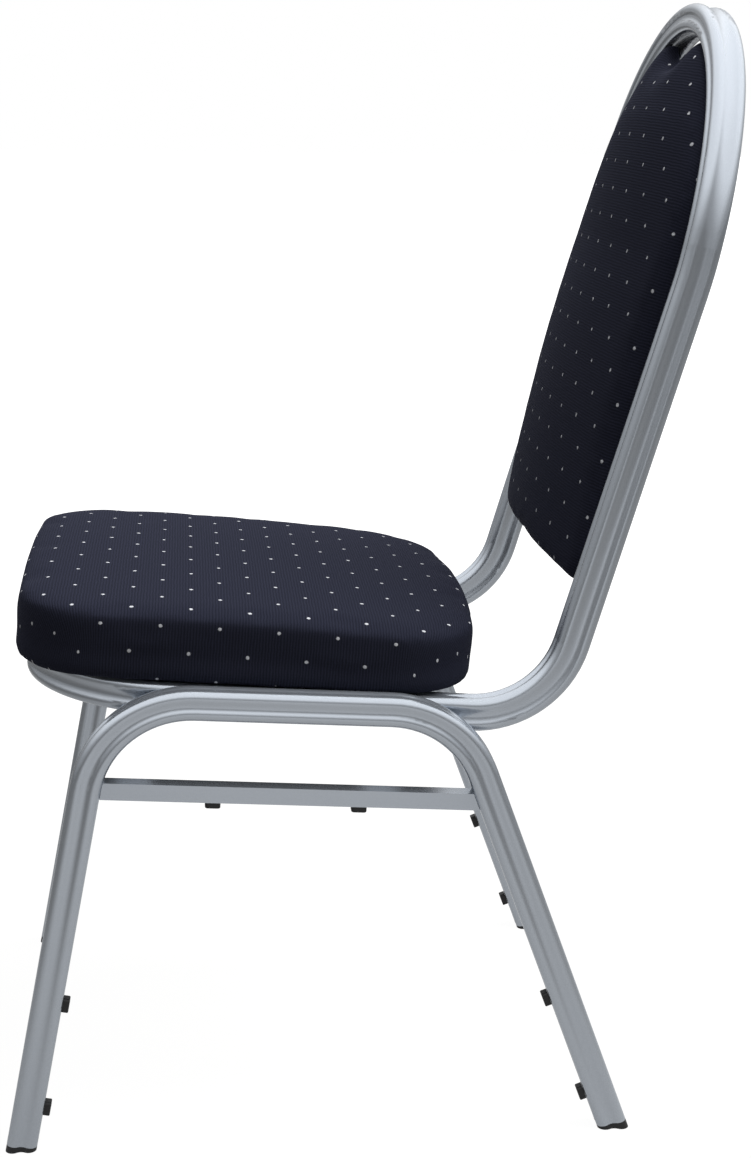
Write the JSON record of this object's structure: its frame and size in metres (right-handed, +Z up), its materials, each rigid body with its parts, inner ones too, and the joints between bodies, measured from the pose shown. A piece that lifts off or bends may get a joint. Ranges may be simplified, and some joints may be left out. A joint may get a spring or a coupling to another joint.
{
  "type": "stacking chair",
  "caption": "Stacking chair with a fluted bent-tube frame, a padded seat, and a round-topped padded back with a hand hole.",
  "frame": {"origin": "on the floor, under the middle of the overall width and depth", "axes": "+Z up, the sitter faces -Y, +X is the sitter's left"},
  "size_m": [0.4344, 0.6106, 0.9312],
  "materials": {
    "painted_steel": "silver satin paint",
    "cover_fabric": "ribbed weave with pin dots",
    "lining_fabric": "matt non-woven",
    "plywood": "sanded",
    "zinc_steel": "zinc plated",
    "black_plastic": "moulded"
  },
  "bodies": {
    "root": {"back_board": "plywood", "back_cushion": "cover_fabric", "back_rear_panel": "cover_fabric", "back_screws": "zinc_steel", "front_cross_bar": "painted_steel", "left_front_foot_cap": "black_plastic", "left_front_leg_lower_bumper": "black_plastic", "left_front_leg_upper_bumper": "black_plastic", "left_front_stretcher_bumper": "black_plastic", "left_leg_tube": "painted_steel", "left_lower_back_tab": "painted_steel", "left_rear_foot_cap": "black_plastic", "left_rear_leg_lower_bumper": "black_plastic", "left_rear_leg_upper_bumper": "black_plastic", "left_rear_stretcher_bumper": "black_plastic", "left_stretcher": "painted_steel", "left_upper_back_tab": "painted_steel", "rear_cross_bar": "painted_steel", "right_front_foot_cap": "black_plastic", "right_front_leg_lower_bumper": "black_plastic", "right_front_leg_upper_bumper": "black_plastic", "right_front_stretcher_bumper": "black_plastic", "right_leg_tube": "painted_steel", "right_lower_back_tab": "painted_steel", "right_rear_foot_cap": "black_plastic", "right_rear_leg_lower_bumper": "black_plastic", "right_rear_leg_upper_bumper": "black_plastic", "right_rear_stretcher_bumper": "black_plastic", "right_stretcher": "painted_steel", "right_upper_back_tab": "painted_steel", "seat_back_tube": "painted_steel", "seat_board": "plywood", "seat_cushion": "cover_fabric", "seat_lining": "lining_fabric", "seat_screws": "zinc_steel", "seat_tee_nuts": "zinc_steel"}
  },
  "joints": []
}
